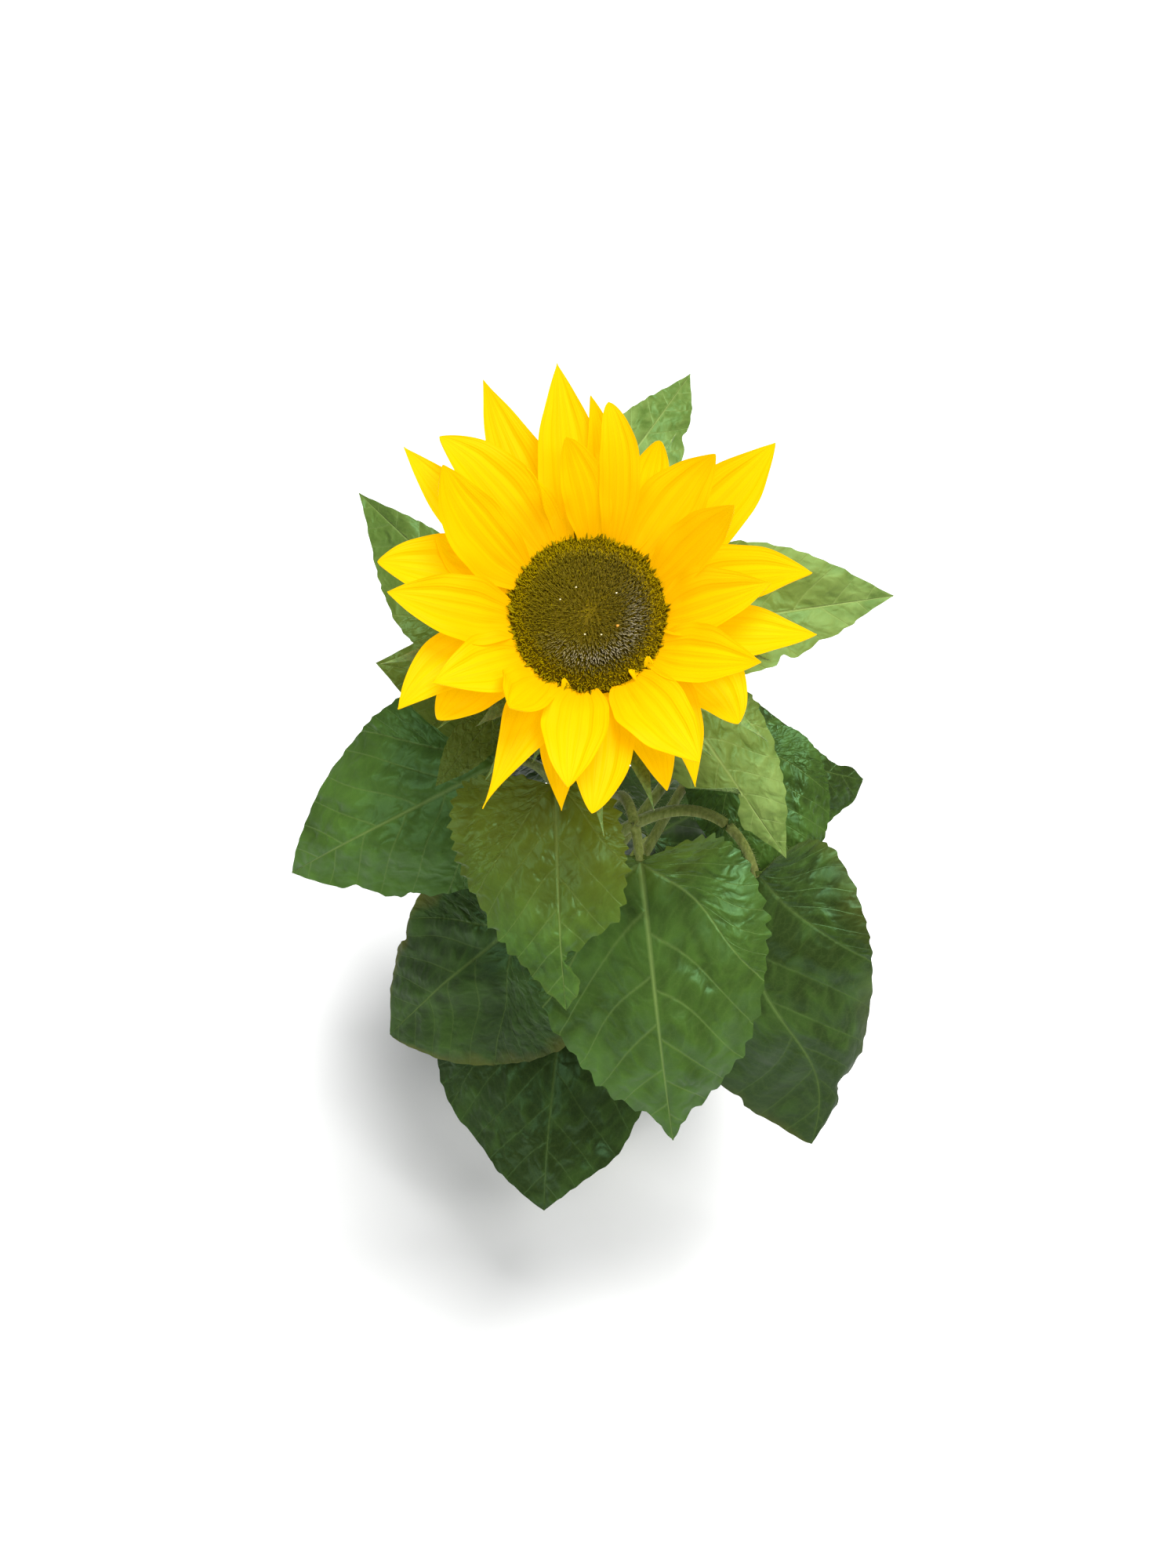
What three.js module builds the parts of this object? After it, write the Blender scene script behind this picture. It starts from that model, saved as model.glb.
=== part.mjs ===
// A compact sunflower plant, in millimetres, +Z up, standing on the origin and facing -Y.
// One stem carries a nodding flower head and eighteen leaves. The stem, stalks, blades and petals
// are lofts, rows of closed sections along a line, so they share one function. The seed disc and
// the calyx behind it are turned about the head's axis.
import * as THREE from 'three';

// ---------- driving dimensions ----------
const HEAD_HEIGHT = 385; // middle of the seed disc above the ground
const HEAD_FORWARD = 38; // the same point, in front of the foot of the stem
const HEAD_TILT = 29; // degrees between the head's axis and the vertical
const DISC_RADIUS = 26;
const DISC_DOME = 5.5; // how far the middle of the disc stands above its rim
const DISC_DEPTH = 3;
const CALYX_RADIUS = 31;
const CALYX_DEPTH = 20;
const CALYX_RIM_DEPTH = 4.6; // the petals' roots lie between this rim and the disc's
const SHOULDER_HEIGHT = 305; // where the straight stem ends and the neck begins
const STEM_LEAN = 2; // sideways, at the shoulder
const STEM_BOW = 6.5; // backwards, at its furthest
const BOW_SPAN = 0.85; // the share of the bow's half wave that the straight stem takes up
const FOOT_RADIUS = 7.2;
const SHOULDER_RADIUS = 4.4;
const NECK_TOP_RADIUS = 6.5;
const FLARE = 4.6; // added to the radius at the ground
const FLARE_HEIGHT = 12; // the flare dies away over about this height
const LEAF_THICKNESS = 1.5;
const PETAL_THICKNESS = 1;
const PETAL_ROOT_RADIUS = DISC_RADIUS + 0.6;
const PETAL_NARROWING = 0.72; // petals here are narrower than life, so that neighbours stay clear
const PETAL_CUP = 0.18; // how far the edges rise above the middle, as a share of the half width
const STALK_TAPER = 0.3; // share of its radius that a leaf stalk loses from root to blade
const SEAT = 0.35; // gap between a piece and what carries it
const TIP_HALF_WIDTH = 0.7;

// Outlines are (start + growth * u) * (1 - u) ** fade along the blade, scaled to its width.
// lobe: how far the base reaches back at its sides, bow: how far the midrib arches, both as
// shares of the length. fold: how far the sides rise above the midrib, per half width.
const PETAL_FORM = { start: 0.25, growth: 3, fade: 0.9 };
const STEM_LEAF = { start: 0.5, growth: 2.6, fade: 1.15, lobe: 0.09, bow: 0.07, fold: -0.12 };
const CROWN_LEAF = { start: 0.14, growth: 3.3, fade: 1.25, lobe: 0, bow: 0.05, fold: 0.18 };

const STEM_COLOR = 0x8a9a55;
const LEAF_COLOR = 0x3f6b2c;
const YOUNG_LEAF_COLOR = 0x7fa45c;
const PETAL_COLOR = 0xffd400;
const DISC_COLOR = 0x4a3a14;

// ---------- leaves, from the ground up ----------
// node: height of the leaf's joint on the stem. stalk: [direction, climb, length, root radius].
// blade: [direction, dip, length, width, roll]. Directions are degrees around +Z from +X, climb
// and dip are degrees above and below the level, and roll turns the blade about its midrib.
const STEM_LEAVES = {
  front_low: { node: 112, stalk: [-113, 62, 56, 2.6], blade: [-97, 45, 98, 94, -4] },
  back_low: { node: 120, stalk: [84, 42, 66, 2.6], blade: [88, 38, 104, 88, 4] },
  back_right_low: { node: 134, stalk: [52, 46, 64, 2.6], blade: [50, 44, 96, 80, 10] },
  left_low: { node: 144, stalk: [-128, 53, 82, 2.6], blade: [-178, 54, 85, 72, -46] },
  back_left_low: { node: 158, stalk: [136, 44, 62, 2.5], blade: [136, 42, 102, 84, -8] },
  right_mid: { node: 174, stalk: [28, 47, 87, 2.4], blade: [-9, 17, 59, 56, 30] },
  back_mid: { node: 188, stalk: [108, 46, 66, 2.4], blade: [104, 24, 96, 76, 0] },
  right_inner: { node: 198, stalk: [13, 45, 85, 2.4], blade: [-61, 43, 54, 52, 20] },
  right_low: { node: 214, stalk: [-27, 15, 71, 2.5], blade: [-62, 63, 123, 78, 25] },
  left_mid: { node: 226, stalk: [-145, 56, 74, 2.5], blade: [-176, 35, 97, 72, -42] },
  front_mid: { node: 238, stalk: [-76, 36, 84, 2.5], blade: [-77, 59, 110, 88, 10] },
  front_high: { node: 268, stalk: [-101, 42, 91, 2.2], blade: [-80, 46, 78, 60, 6] },
};
// The small leaves under the head taper into their stalks, so each is one piece.
const CROWN_LEAVES = {
  left_bud: { node: 250, stalk: [-136, 57, 89, 1.6], blade: [-137, 30, 30, 22, -30] },
  right_high: { node: 259, stalk: [-29, 57, 65, 1.9], blade: [-44, 38, 66, 46, 30] },
  left_high: { node: 275, stalk: [-157, 54, 43, 1.8], blade: [-174, -25, 57, 38, -34] },
  crown_right: { node: 285, stalk: [3, 65, 53, 1.9], blade: [6, -6, 83, 42, 40] },
  crown_back: { node: 293, stalk: [91, 44, 72, 1.9], blade: [57, -13, 70, 37, 24] },
  crown_left: { node: 300, stalk: [168, 42, 47, 1.9], blade: [135, -12, 73, 42, -28] },
};

// ---------- petals, around the head ----------
// Each row: angle of the root, angle of the tip, reach of the tip from the axis, height of the
// tip above the disc's rim, width. Angles are degrees, anticlockwise seen from the front.
const PETALS = {
  inner: {
    rootHeight: 0.6,
    lift: 50,
    rows: [
      [357, 1, 57, 23, 25], [24, 29, 52, 38, 23], [66, 82, 61, 30, 20], [91, 99, 50, 30, 22],
      [145, 140, 60, 34, 30], [181, 179, 62, 24, 27], [215, 205, 54, 19, 25], [236, 243, 46, 34, 22],
      [264, 264, 60, 20, 24], [303, 302, 62, 21, 29], [330, 338, 58, 26, 25],
    ],
  },
  middle: {
    rootHeight: -1.2,
    lift: 34,
    rows: [
      [14, 6, 70, 22, 23], [50, 49, 61, 25, 28], [98, 97, 77, 22, 26], [131, 131, 70, 22, 26],
      [169, 170, 67, 18, 23], [209, 209, 68, 12, 22], [240, 244, 72, 8, 24], [282, 271, 66, 10, 25],
      [350, 352, 72, 13, 24],
    ],
  },
  outer: {
    rootHeight: -3,
    lift: 18,
    rows: [
      [37, 41, 79, 16, 30], [117, 113, 81, 14, 24], [141, 138, 79, 10, 21], [226, 216, 59, 4, 24],
      [292, 293, 63, 5, 20], [322, 324, 60, 5, 27],
    ],
  },
};

// ---------- shared geometry ----------
const UP = new THREE.Vector3(0, 0, 1);
const rad = THREE.MathUtils.degToRad;

// A unit vector from a direction around +Z and an angle above the level.
function heading(direction, climb) {
  const level = Math.cos(rad(climb));
  return new THREE.Vector3(
    level * Math.cos(rad(direction)), level * Math.sin(rad(direction)), Math.sin(rad(climb)),
  );
}

// The part of a vector that is square to a unit vector, at unit length.
function squareTo(axis, vector) {
  return vector.clone().addScaledVector(axis, -axis.dot(vector)).normalize();
}

// Joins closed sections, each a list of the same even number of points, into one closed body.
// A section runs anticlockwise as seen from the end of the loft.
function loft(sections) {
  const count = sections[0].length;
  const last = (sections.length - 1) * count;
  const faces = [];
  for (let ring = 0; ring < last; ring += count) {
    for (let k = 0; k < count; k += 1) {
      const a = ring + k;
      const b = ring + (k + 1) % count;
      faces.push(a, b, b + count, a, b + count, a + count);
    }
  }
  for (let a = 0; a + 1 < count / 2; a += 1) {
    const [b, c, d] = [a + 1, count - 2 - a, count - 1 - a];
    faces.push(a, c, b, a, d, c);
    faces.push(last + a, last + b, last + c, last + a, last + c, last + d);
  }
  const corners = sections.flat().flatMap((point) => point.toArray());
  const geometry = new THREE.BufferGeometry();
  geometry.setAttribute('position', new THREE.Float32BufferAttribute(corners, 3));
  geometry.setIndex(faces);
  geometry.computeVertexNormals();
  return geometry;
}

// One round section. side is any vector that its first corners lie towards.
function roundSection(centre, ahead, side, radius, corners) {
  const across = squareTo(ahead, side);
  const over = ahead.clone().cross(across);
  return Array.from({ length: corners }, (_, k) => {
    const turn = 2 * Math.PI * (k + 0.5) / corners;
    return centre.clone()
      .addScaledVector(across, radius * Math.cos(turn))
      .addScaledVector(over, radius * Math.sin(turn));
  });
}

// Round sections along a curve. The first one is cut square to startAhead.
function tube({ curve, radius, side, corners, steps, startAhead }) {
  return Array.from({ length: steps + 1 }, (_, step) => {
    const t = step / steps;
    const ahead = step === 0 ? startAhead : curve.getTangent(t);
    return roundSection(curve.getPoint(t), ahead, side, radius(t), corners);
  });
}

// Half width of a blade at part u of its length, as a share of its greatest half width.
function outline(u, { start, growth, fade }) {
  const shape = (t) => (start + growth * t) * (1 - t) ** fade;
  const widest = (growth - fade * start) / (growth * (1 + fade));
  return shape(u) / shape(widest);
}

// ---------- stem, neck and head ----------
function stemAt(height) {
  const part = height / SHOULDER_HEIGHT;
  return new THREE.Vector3(STEM_LEAN * part, STEM_BOW * Math.sin(BOW_SPAN * Math.PI * part), height);
}

function stemRadius(height) {
  const taper = THREE.MathUtils.lerp(FOOT_RADIUS, SHOULDER_RADIUS, height / SHOULDER_HEIGHT);
  return taper + FLARE * Math.exp(-height / FLARE_HEIGHT);
}

// Its sections crowd towards the ground, where the root flare curves.
class StemCurve extends THREE.Curve {
  getHeight(t) {
    return SHOULDER_HEIGHT * t ** 1.5;
  }

  getPoint(t) {
    return stemAt(this.getHeight(t));
  }
}

const stemCurve = new StemCurve();
const headCentre = new THREE.Vector3(0, -HEAD_FORWARD, HEAD_HEIGHT);
const headAxis = heading(-90, 90 - HEAD_TILT);

function stemGeometry() {
  return loft(tube({
    curve: stemCurve,
    radius: (t) => stemRadius(stemCurve.getHeight(t)),
    side: new THREE.Vector3(1, 0, 0),
    corners: 12,
    steps: 14,
    startAhead: UP,
  }));
}

function neckGeometry() {
  const rise = stemCurve.getTangent(1);
  const foot = stemAt(SHOULDER_HEIGHT).addScaledVector(rise, SEAT);
  const top = headCentre.clone().addScaledVector(headAxis, -CALYX_DEPTH - SEAT);
  const pull = foot.distanceTo(top) / 3;
  return loft(tube({
    curve: new THREE.CubicBezierCurve3(
      foot, foot.clone().addScaledVector(rise, pull), top.clone().addScaledVector(headAxis, -pull), top,
    ),
    radius: (t) => THREE.MathUtils.lerp(SHOULDER_RADIUS, NECK_TOP_RADIUS, t * t),
    side: new THREE.Vector3(1, 0, 0),
    corners: 12,
    steps: 6,
    startAhead: rise,
  }));
}

// Turns a profile of [radius, height] pairs about the head's axis.
function turned(profile) {
  const points = profile.map(([radius, height]) => new THREE.Vector2(radius, height));
  return new THREE.LatheGeometry(points, 24).rotateX(Math.PI / 2);
}

// A quarter of an ellipse as [radius, height] pairs, from its foot to its side.
function quarter(from, to, steps) {
  return Array.from({ length: steps + 1 }, (_, k) => {
    const turn = Math.PI / 2 * k / steps;
    return [
      from[0] + (to[0] - from[0]) * Math.sin(turn), from[1] + (to[1] - from[1]) * (1 - Math.cos(turn)),
    ];
  });
}

function discGeometry() {
  const dome = quarter([0, DISC_DOME], [DISC_RADIUS, 0], 4).reverse();
  return turned([[0, -DISC_DEPTH], [DISC_RADIUS, -DISC_DEPTH], ...dome]);
}

function calyxGeometry() {
  const bowl = quarter([NECK_TOP_RADIUS, -CALYX_DEPTH], [CALYX_RADIUS, -CALYX_RIM_DEPTH], 4);
  const seat = -DISC_DEPTH - SEAT;
  return turned([
    [0, -CALYX_DEPTH], ...bowl, [DISC_RADIUS, -CALYX_RIM_DEPTH], [DISC_RADIUS - 2, seat], [0, seat],
  ]);
}

// ---------- petals ----------
// Built in the head's own frame, whose +Z is the head's axis.
function petalGeometry([rootAngle, tipAngle, reach, height, width], rootHeight, lift) {
  const out = heading(rootAngle, lift);
  const root = heading(rootAngle, 0).multiplyScalar(PETAL_ROOT_RADIUS).setZ(rootHeight);
  const tip = heading(tipAngle, 0).multiplyScalar(reach).setZ(height);
  const middle = root.clone().addScaledVector(out, root.distanceTo(tip) / 2);
  const midline = new THREE.QuadraticBezierCurve3(root, middle, tip);
  const steps = 6;
  const columns = [1, 0, -1];
  return loft(Array.from({ length: steps + 1 }, (_, step) => {
    const u = step / steps;
    const ahead = midline.getTangent(u);
    const over = squareTo(ahead, UP);
    const across = over.clone().cross(ahead);
    const half = Math.max(TIP_HALF_WIDTH, PETAL_NARROWING * width / 2 * outline(u, PETAL_FORM));
    const edge = (v, face) => midline.getPoint(u)
      .addScaledVector(across, v * half)
      .addScaledVector(over, Math.abs(v) * half * PETAL_CUP + face * PETAL_THICKNESS / 2);
    return [...columns.map((v) => edge(v, 1)), ...columns.map((v) => edge(-v, -1))];
  }));
}

// ---------- leaves ----------
// The blade's own directions: ahead along its chord, over out of its upper face, across it.
function bladeFrame([direction, dip, , , roll]) {
  const ahead = heading(direction, -dip);
  const over = squareTo(ahead, UP).applyAxisAngle(ahead, rad(roll));
  return { ahead, over, across: over.clone().cross(ahead) };
}

// Sections of a blade whose midrib arches over its chord and whose base may reach back in lobes.
function bladeSections(base, [, , length, width], { ahead, over, across }, form, steps) {
  const columns = [1, 0.5, 0, -0.5, -1];
  return Array.from({ length: steps + 1 }, (_, step) => {
    const u = step / steps;
    const half = Math.max(TIP_HALF_WIDTH, width / 2 * outline(u, form));
    const arch = length * form.bow * 4 * u * (1 - u);
    const corner = (v, face) => base.clone()
      .addScaledVector(ahead, length * (u - form.lobe * (1 - u) ** 3 * v ** 4))
      .addScaledVector(across, v * half)
      .addScaledVector(over, arch + form.fold * Math.abs(v) * half + face * LEAF_THICKNESS / 2);
    return [...columns.map((v) => corner(v, 1)), ...columns.map((v) => corner(-v, -1))];
  });
}

// The stalk leaves the stem's side, climbs to the blade and turns into the blade's direction.
function stalkCurve(node, [direction, climb, length], ahead) {
  const outwards = heading(direction, 0);
  const base = stemAt(node).addScaledVector(heading(direction, climb), length);
  const root = stemAt(node).addScaledVector(outwards, stemRadius(node) + SEAT);
  return new THREE.CubicBezierCurve3(
    root,
    root.clone().addScaledVector(heading(direction, climb + 8), length / 3),
    base.clone().addScaledVector(ahead, -0.3 * length),
    base,
  );
}

function stalkSections({ node, stalk, blade }, side, corners, steps) {
  const [direction, , , rootRadius] = stalk;
  return tube({
    curve: stalkCurve(node, stalk, bladeFrame(blade).ahead),
    radius: (t) => rootRadius * (1 - STALK_TAPER * t),
    side,
    corners,
    steps,
    startAhead: heading(direction, 0),
  });
}

function stemLeafBlade({ node, stalk, blade }) {
  const frame = bladeFrame(blade);
  const base = stalkCurve(node, stalk, frame.ahead).getPoint(1).addScaledVector(frame.ahead, SEAT);
  return loft(bladeSections(base, blade, frame, STEM_LEAF, 9));
}

function crownLeaf({ node, stalk, blade }) {
  const frame = bladeFrame(blade);
  const stalkPart = stalkSections({ node, stalk, blade }, frame.across, 10, 5);
  const end = stalkCurve(node, stalk, frame.ahead).getPoint(1);
  const bladePart = bladeSections(end, blade, frame, CROWN_LEAF, 8);
  return loft([...stalkPart.slice(0, -1), ...bladePart]);
}

// ---------- assembly ----------
function finish(color, roughness) {
  return new THREE.MeshStandardMaterial({ color, roughness, metalness: 0 });
}

function add(parent, name, geometry, material) {
  const mesh = new THREE.Mesh(geometry, material);
  mesh.name = name;
  parent.add(mesh);
}

const plant = new THREE.Group();
add(plant, 'stem', stemGeometry(), finish(STEM_COLOR, 0.7));
add(plant, 'neck', neckGeometry(), finish(STEM_COLOR, 0.7));

const head = new THREE.Group();
head.position.copy(headCentre);
head.quaternion.setFromUnitVectors(UP, headAxis);
plant.add(head);
add(head, 'calyx', calyxGeometry(), finish(YOUNG_LEAF_COLOR, 0.7));
add(head, 'seed_disc', discGeometry(), finish(DISC_COLOR, 0.9));
for (const [whorl, { rootHeight, lift, rows }] of Object.entries(PETALS)) {
  rows.forEach((row, k) => {
    add(head, `petal_${whorl}_${k + 1}`, petalGeometry(row, rootHeight, lift), finish(PETAL_COLOR, 0.6));
  });
}

for (const [name, leaf] of Object.entries(STEM_LEAVES)) {
  const stalk = stalkSections(leaf, UP.clone().cross(heading(leaf.stalk[0], 0)), 8, 8);
  add(plant, `stalk_${name}`, loft(stalk), finish(STEM_COLOR, 0.7));
  add(plant, `blade_${name}`, stemLeafBlade(leaf), finish(LEAF_COLOR, 0.45));
}
for (const [name, leaf] of Object.entries(CROWN_LEAVES)) {
  add(plant, `leaf_${name}`, crownLeaf(leaf), finish(YOUNG_LEAF_COLOR, 0.55));
}

export default plant;
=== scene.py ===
# %% [markdown]
# # A compact sunflower
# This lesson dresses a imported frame: one stem, one nodding flower head and eighteen leaves. The
# frame gives every solid its place and its size, and each one is replaced here by a mesh with the
# relief of the living part. Lengths are in millimetres until a mesh is made, in the frame's axes.

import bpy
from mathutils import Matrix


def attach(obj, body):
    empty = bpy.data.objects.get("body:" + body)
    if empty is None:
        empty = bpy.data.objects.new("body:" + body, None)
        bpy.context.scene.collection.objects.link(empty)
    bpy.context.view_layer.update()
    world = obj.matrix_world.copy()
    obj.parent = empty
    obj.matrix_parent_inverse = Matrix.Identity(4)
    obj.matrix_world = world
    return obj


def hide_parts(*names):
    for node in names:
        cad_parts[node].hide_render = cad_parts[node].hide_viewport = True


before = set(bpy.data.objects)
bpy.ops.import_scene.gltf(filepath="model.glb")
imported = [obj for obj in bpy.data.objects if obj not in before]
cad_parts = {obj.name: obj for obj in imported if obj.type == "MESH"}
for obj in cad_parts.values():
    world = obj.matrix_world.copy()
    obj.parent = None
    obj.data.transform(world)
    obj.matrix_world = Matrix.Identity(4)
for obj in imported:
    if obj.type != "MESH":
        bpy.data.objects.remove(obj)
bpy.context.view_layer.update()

# %% Modules and shared numbers
import math

import bpy
import numpy as np
from mathutils import Vector

MM = 0.001
HEAD = np.array([0.0, -38.0, 385.0])  # middle of the seed disc's rim
HEAD_TILT = 29  # degrees between the head's axis and the vertical
UP = np.array([0.0, 0.0, 1.0])
draw = np.random.default_rng(11)

# %% [markdown]
# ## The camera
# The plant is looked at from above and in front, as by someone standing over it. The camera is
# placed from the flower: so far away, and so low that the flower is above the middle of its view.

# %% Camera
LOOK_DOWN = 50  # degrees
LENS, SENSOR = 52.2, 36.0
FLOWER_DISTANCE = 725
FLOWER_RISE = 0.1075  # share of the view's height by which the flower is above its middle

down = math.radians(LOOK_DOWN)
forward = np.array([0.0, math.cos(down), -math.sin(down)])
upward = np.array([0.0, math.sin(down), math.cos(down)])
rise = FLOWER_RISE * SENSOR / LENS * FLOWER_DISTANCE
camera = bpy.data.objects.new("camera", bpy.data.cameras.new("camera"))
camera.data.lens, camera.data.sensor_width = LENS, SENSOR
camera.location = (HEAD - forward * FLOWER_DISTANCE - upward * rise) * MM
camera.rotation_euler = (math.pi / 2 - down, 0, 0)
bpy.context.collection.objects.link(camera)
bpy.context.scene.camera = camera
bpy.context.scene.view_settings.view_transform = "Standard"
print("camera at", [round(c, 3) for c in camera.location])

# %% [markdown]
# ## Directions
# Leaves and petals are placed by compass-like angles: a direction around the vertical and a climb
# above the level. `square_to` keeps the part of a vector that is square to an axis.

# %% Vector helpers
def unit(vectors):
    return vectors / np.maximum(np.linalg.norm(vectors, axis=-1, keepdims=True), 1e-9)


def heading(direction, climb):
    around, above = math.radians(direction), math.radians(climb)
    level = math.cos(above)
    return np.array([level * math.cos(around), level * math.sin(around), math.sin(above)])


def square_to(axis, vector):
    return unit(vector - axis * np.sum(axis * vector, axis=-1, keepdims=True))


def bezier(points, t):
    """Points of a Bezier curve of any degree at the parameters t."""
    points = [np.asarray(point, float) for point in points]
    t = np.asarray(t)[:, None]
    while len(points) > 1:
        points = [a * (1 - t) + b * t for a, b in zip(points, points[1:])]
    return points[0]


def tangents(line):
    return unit(np.gradient(line, axis=0))


def strip_frame(ahead, turn):
    """Directions over and beside a strip that runs ahead and is turned round its own line."""
    over = square_to(ahead, UP)
    over = over * np.cos(turn) + np.cross(ahead, over) * np.sin(turn)
    return over, np.cross(ahead, over)


def stacked(*numbers):
    """Arrays that fit together as one array of points or fields."""
    return np.stack(np.broadcast_arrays(*numbers), -1)


def ring_at(radius, turn, height):
    """Points round the third axis."""
    return stacked(radius * np.cos(turn), radius * np.sin(turn), height)


def full_turn(corners):
    return np.linspace(0, 2 * np.pi, corners, endpoint=False)


# %% [markdown]
# ## From numbers to meshes
# Every surface here is a grid of points worked out by a formula. Writing the arrays straight into
# the mesh is much faster than adding faces one by one, and keeps the order of points known, so
# that fields such as the place on a leaf can be stored beside them.

# %% Mesh from arrays
def new_piece(
        name, points, faces, materials, nodes=(), fields=None, uv=None, face_material=None):
    """points (n, 3) in mm, faces a list of index arrays with one row for each face. The nodes
    are the solids of the frame that the piece stands in for."""
    mesh = bpy.data.meshes.new(name)
    corners = np.concatenate([f.ravel() for f in faces]).astype(np.int32)
    sizes = np.concatenate([np.full(len(f), f.shape[1]) for f in faces])
    mesh.vertices.add(len(points))
    mesh.vertices.foreach_set("co", (points * MM).astype(np.float32).ravel())
    mesh.loops.add(len(corners))
    mesh.loops.foreach_set("vertex_index", corners)
    mesh.polygons.add(len(sizes))
    mesh.polygons.foreach_set("loop_start", (np.cumsum(sizes) - sizes).astype(np.int32))
    if face_material is not None:
        mesh.polygons.foreach_set("material_index", face_material.astype(np.int32))
    mesh.update(calc_edges=True)
    for field, values in (fields or {}).items():
        stored = mesh.attributes.new(field, "FLOAT_VECTOR", "POINT")
        stored.data.foreach_set("vector", values.astype(np.float32).ravel())
    if uv is not None:
        layer = mesh.uv_layers.new(name="OFBake")
        layer.data.foreach_set("uv", uv.astype(np.float32).ravel())
    for material in materials:
        mesh.materials.append(material)
    mesh.shade_smooth()
    made = bpy.data.objects.new(name, mesh)
    bpy.context.collection.objects.link(made)
    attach(made, "root")
    if nodes:
        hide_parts(*nodes)
    return made


def numbered(rows, columns):
    return np.arange(rows * columns).reshape(rows, columns)


def grid_faces(index):
    """Four-sided faces between the rows and columns of a grid of point numbers."""
    corners = [index[:-1, :-1], index[:-1, 1:], index[1:, 1:], index[1:, :-1]]
    return np.stack(corners, -1).reshape(-1, 4)


# %% [markdown]
# A leaf or petal is a closed sheet, not a single surface: its under side has another colour, and
# the mesh is a closed body. A Solidify modifier would do much the same, but here the depth
# changes from point to point. The lower surface follows the upper one at a given depth and meets
# it along the edge, which comes out thin and crisp.

# %% Closed sheets
THIN = 0.35  # thickness of a petal, and of a leaf between its veins


def sheet_piece(name, grid, depth, materials, fields, nodes=()):
    """grid (rows, columns, 3) is the upper face, depth its thickness at each point."""
    rows, columns = grid.shape[:2]
    normal = unit(np.cross(np.gradient(grid, axis=1), np.gradient(grid, axis=0)))
    lower = grid - normal * depth[..., None]
    upper_index = numbered(rows, columns)
    lower_index = upper_index.copy()
    lower_index[1:-1, 1:-1] = rows * columns + numbered(rows - 2, columns - 2)
    points = np.concatenate([grid.reshape(-1, 3), lower[1:-1, 1:-1].reshape(-1, 3)])
    upper, under = grid_faces(upper_index), grid_faces(lower_index)[:, ::-1]
    stored = {
        key: np.concatenate([value.reshape(-1, 3), value[1:-1, 1:-1].reshape(-1, 3)])
        for key, value in fields.items()
    }
    place = stored["place"][:, :2]
    low = place.min(0)
    wide, long = place.max(0) - low
    flat = (place - low) / max(wide, long) * 0.96 + 0.02
    flat[:, 0] *= 0.5 if wide > 0.5 * long else 1.0
    made = new_piece(
        name, points, [upper, under], materials, nodes, stored,
        uv=np.concatenate([flat[upper.ravel()], flat[under.ravel()] + [0.5, 0]]),
        face_material=np.repeat([0, 1], [len(upper), len(under)]))
    on_edge = np.zeros(len(points), bool)
    on_edge[upper_index[[0, -1]].ravel()] = True
    on_edge[upper_index[:, [0, -1]].ravel()] = True
    ends = np.empty(len(made.data.edges) * 2, np.int32)
    made.data.edges.foreach_get("vertices", ends)
    made.data.edges.foreach_set("use_edge_sharp", on_edge[ends.reshape(-1, 2)].all(1))


# %% [markdown]
# Stem, neck and leaf stalks are tubes. A bevelled curve makes a smooth tube at once, but here
# ribs run along it, so the radius changes around the section as well as along the line. Both
# ends are closed with a fan of triangles.

# %% Tubes
def tube_grid(line, radius, side, corners, ribs=0, rib_depth=0.0, channel=0.0):
    """Rings of points round a line. A channel is a groove along the side that faces `side`."""
    ahead = tangents(line)
    across = square_to(ahead, side)
    over = np.cross(ahead, across)
    turn = full_turn(corners)[None, :]
    from_side = np.angle(np.exp(1j * turn))
    groove = channel * np.exp(-((from_side / 0.5) ** 2))
    reach = np.asarray(radius)[:, None] * (1 + rib_depth * np.cos(ribs * turn) - groove)
    return (
        line[:, None]
        + across[:, None] * (reach * np.cos(turn))[..., None]
        + over[:, None] * (reach * np.sin(turn))[..., None]
    )


def tube_piece(name, grid, material, nodes=(), plain_fields=()):
    """A closed tube. The plain fields are stored as 0 all over it."""
    rings, corners = grid.shape[:2]
    points = np.concatenate([grid.reshape(-1, 3), grid[[0, -1]].mean(1)])
    index = numbered(rings, corners)
    wrapped = np.concatenate([index, index[:, :1]], axis=1)
    first, last = wrapped[0], wrapped[-1]
    foot, tip = rings * corners, rings * corners + 1
    caps = np.concatenate([stacked(first[1:], first[:-1], foot), stacked(last[:-1], last[1:], tip)])
    cells = stacked(*np.meshgrid(np.linspace(0, 0.9, corners + 1), np.linspace(0.02, 0.98, rings)))
    wall_uv = cells.reshape(-1, 2)[grid_faces(numbered(rings, corners + 1)).ravel()]
    turn = np.linspace(0, 2 * np.pi, corners + 1)
    ring = stacked(0.95 + 0.03 * np.cos(turn), 0.05 + 0.03 * np.sin(turn))
    fan = np.stack([ring[1:], ring[:-1], np.broadcast_to([0.95, 0.05], (corners, 2))], 1)
    cap_uv = np.concatenate([fan, fan[:, [1, 0, 2]] + [0, 0.1]]).reshape(-1, 2)
    fields = {field: np.zeros_like(points) for field in plain_fields}
    faces, uv = [grid_faces(wrapped), caps], np.concatenate([wall_uv, cap_uv])
    new_piece(name, points, faces, [material], nodes, fields, uv)


# %% [markdown]
# ## Shader maths as expressions
# A finish is easier to read as a formula than as a drawing of boxes. `Wire` stands for a number
# that leaves a socket: adding or multiplying wires adds the Math nodes. `Finish.node` makes every
# other node from its type, its settings and the values of its sockets, and the methods after it
# are short names for the nodes that come up again and again.

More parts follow.
